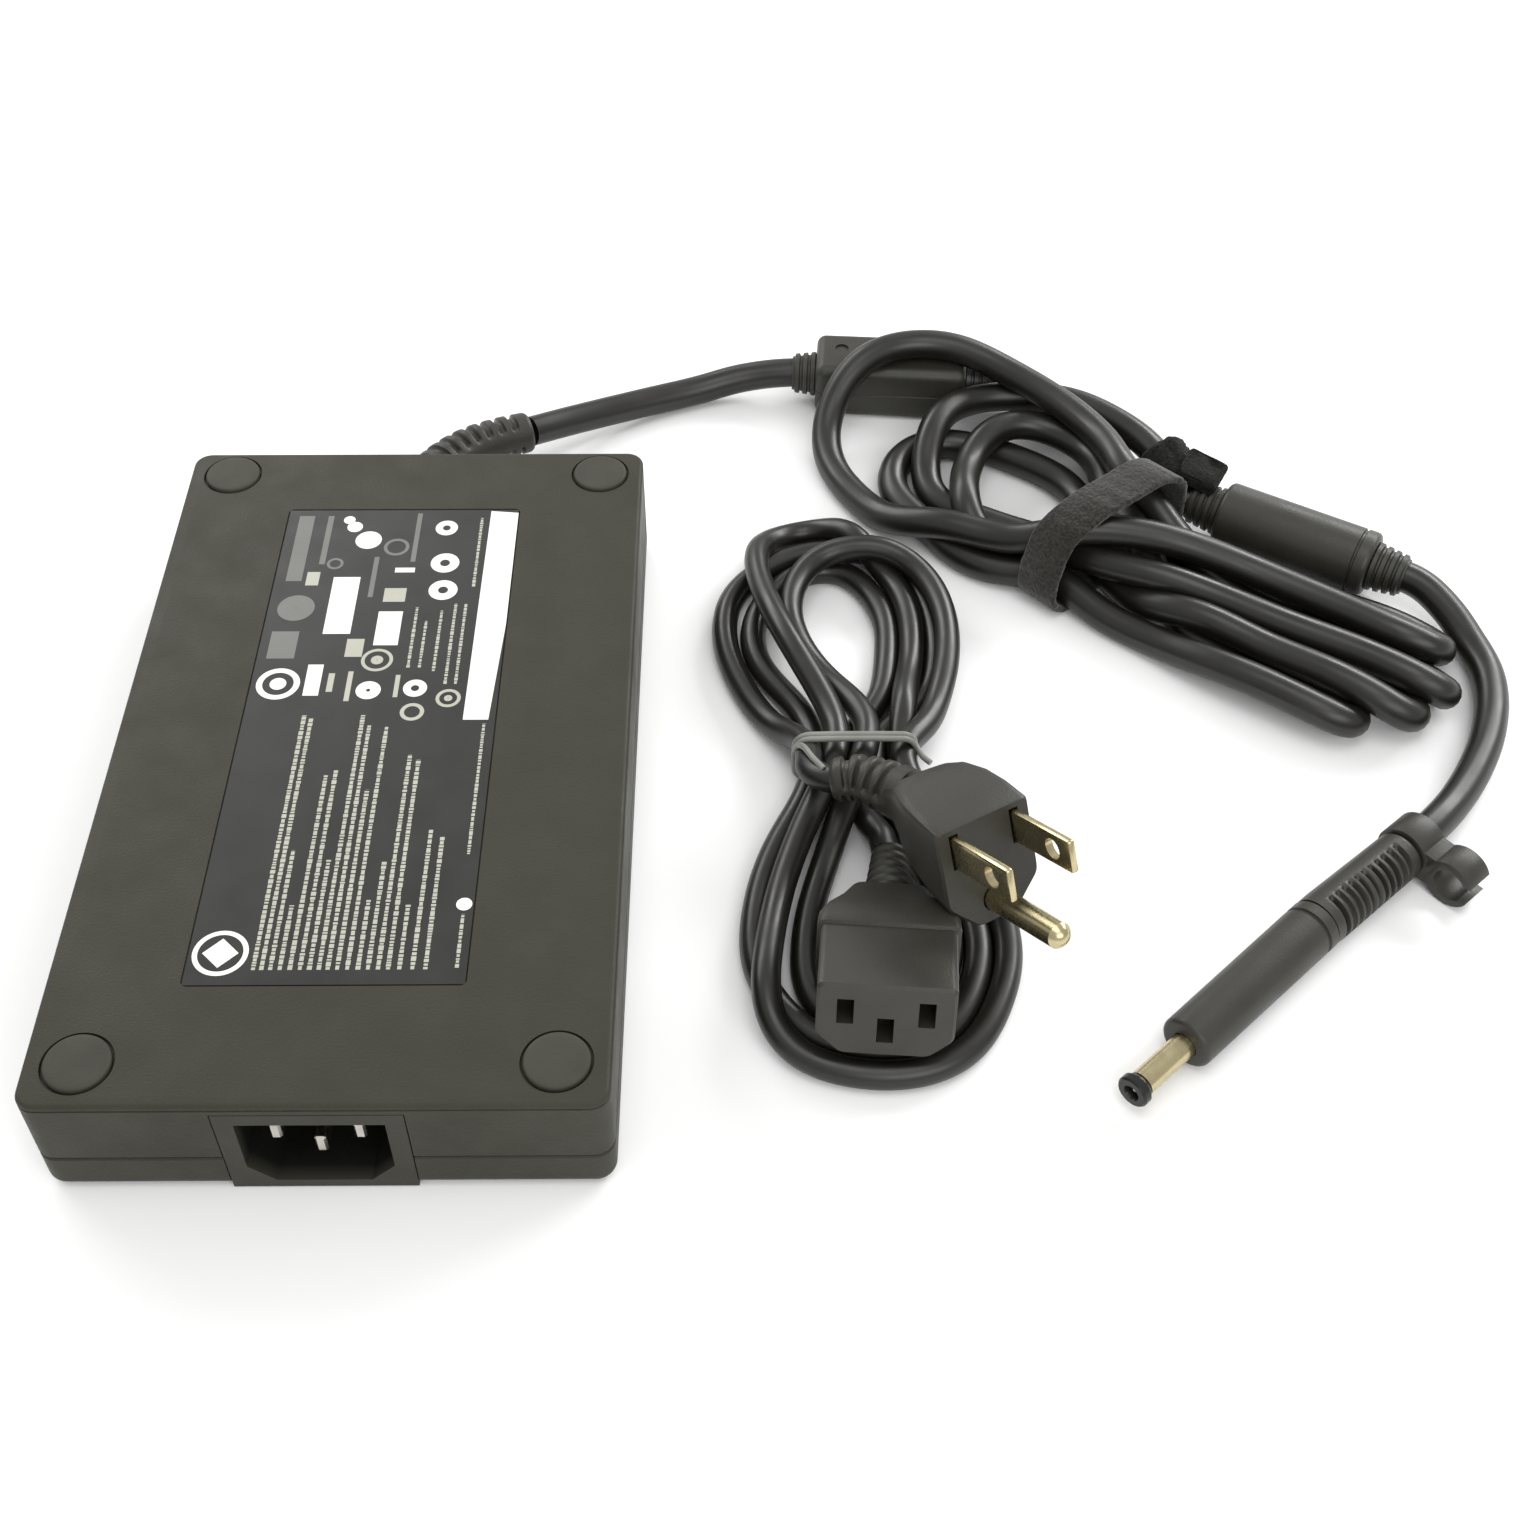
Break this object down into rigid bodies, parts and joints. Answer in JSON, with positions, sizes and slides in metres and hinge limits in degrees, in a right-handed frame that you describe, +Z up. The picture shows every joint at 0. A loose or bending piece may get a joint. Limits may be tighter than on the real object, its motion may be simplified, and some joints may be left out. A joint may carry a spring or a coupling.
{
  "type": "laptop power adapter",
  "caption": "Slim laptop power adapter with a mains inlet, a wound low-voltage cord with ferrites and a round plug, and a loose mains lead.",
  "frame": {"origin": "centre of the case's plain side, on the surface it lies on", "axes": "+Z up, towards the label; +Y from the mains inlet to the low-voltage cord; +X to the right of that"},
  "size_m": [0.2744, 0.2239, 0.0407],
  "materials": {
    "case_plastic": "fine-grained moulded plastic, dark olive grey",
    "foot_rubber": "soft matt rubber",
    "label_film": "printed polyester film, charcoal",
    "inlet_plastic": "smooth moulded plastic",
    "pin_metal": "nickel-plated brass",
    "brass": "polished brass with a light nickel-gold tone",
    "board": "solder-masked glass-epoxy board",
    "capacitor_sleeve": "shrink sleeve on aluminium",
    "ferrite": "sintered ferrite",
    "winding_tape": "polyester winding tape",
    "copper": "enamelled copper wire",
    "film_case": "moulded capacitor case",
    "chip_epoxy": "moulded epoxy",
    "aluminium": "rolled sheet",
    "insulation": "polycarbonate film",
    "cord_jacket": "flexible vinyl jacket, soft sheen",
    "moulded_rubber": "moulded flexible vinyl, fine texture",
    "strap_fabric": "napped hook-and-loop tape",
    "tip_plastic": "hard black plastic",
    "tie_wire": "plastic-covered wire"
  },
  "bodies": {
    "adapter": {"label_side_shell": "case_plastic", "plain_side_shell": "case_plastic", "foot_front_left": "foot_rubber", "foot_front_right": "foot_rubber", "foot_back_left": "foot_rubber", "foot_back_right": "foot_rubber", "rating_label": "label_film", "inlet_housing": "inlet_plastic", "inlet_line_pin": "pin_metal", "inlet_neutral_pin": "pin_metal", "inlet_earth_pin": "pin_metal", "main_board": "board", "insulation_sheet": "insulation", "heat_spreader": "aluminium", "x_capacitor": "film_case", "mains_fuse": "chip_epoxy", "common_mode_choke": "copper", "bridge_rectifier": "chip_epoxy", "bulk_capacitor_left": "capacitor_sleeve", "bulk_capacitor_right": "capacitor_sleeve", "boost_choke": "winding_tape", "transformer_core": "ferrite", "transformer_winding": "winding_tape", "primary_heatsink": "aluminium", "secondary_heatsink": "aluminium", "output_capacitor_1": "capacitor_sleeve", "output_capacitor_2": "capacitor_sleeve", "output_capacitor_3": "capacitor_sleeve", "output_choke": "copper", "dc_strain_relief": "moulded_rubber", "dc_cord_lead": "cord_jacket", "ferrite_block_cover": "moulded_rubber", "ferrite_block_core": "ferrite", "ferrite_sleeve_cover": "moulded_rubber", "ferrite_sleeve_core": "ferrite", "dc_cord_hank": "cord_jacket", "cord_strap": "strap_fabric", "dc_cord_tail": "cord_jacket", "dc_plug_boot": "moulded_rubber", "dc_plug_body": "moulded_rubber", "dc_plug_barrel": "brass", "dc_plug_tip": "tip_plastic", "dc_plug_centre_pin": "pin_metal"},
    "mains_lead": {"mains_connector_body": "moulded_rubber", "mains_connector_line_contact": "brass", "mains_connector_neutral_contact": "brass", "mains_connector_earth_contact": "brass", "wall_plug_body": "moulded_rubber", "wall_plug_line_blade": "brass", "wall_plug_neutral_blade": "brass", "wall_plug_earth_pin": "brass", "mains_cord_upper_loops": "cord_jacket", "mains_cord_lower_loops": "cord_jacket", "mains_cord_plug_run": "cord_jacket", "twist_tie": "tie_wire"},
    "cord_clip": {"cord_clip": "moulded_rubber"}
  },
  "joints": [
    {"name": "lead_lift", "type": "slide", "parent": "adapter", "child": "mains_lead", "axis": [0, 0, 1], "range_m": [0, 0.15]},
    {"name": "clip_turn", "type": "hinge", "parent": "adapter", "child": "cord_clip", "pos_m": [0.1968, -0.0127, 0.0054], "axis": [-0.7547, -0.6561, 0], "range_deg": [0, 180]}
  ]
}
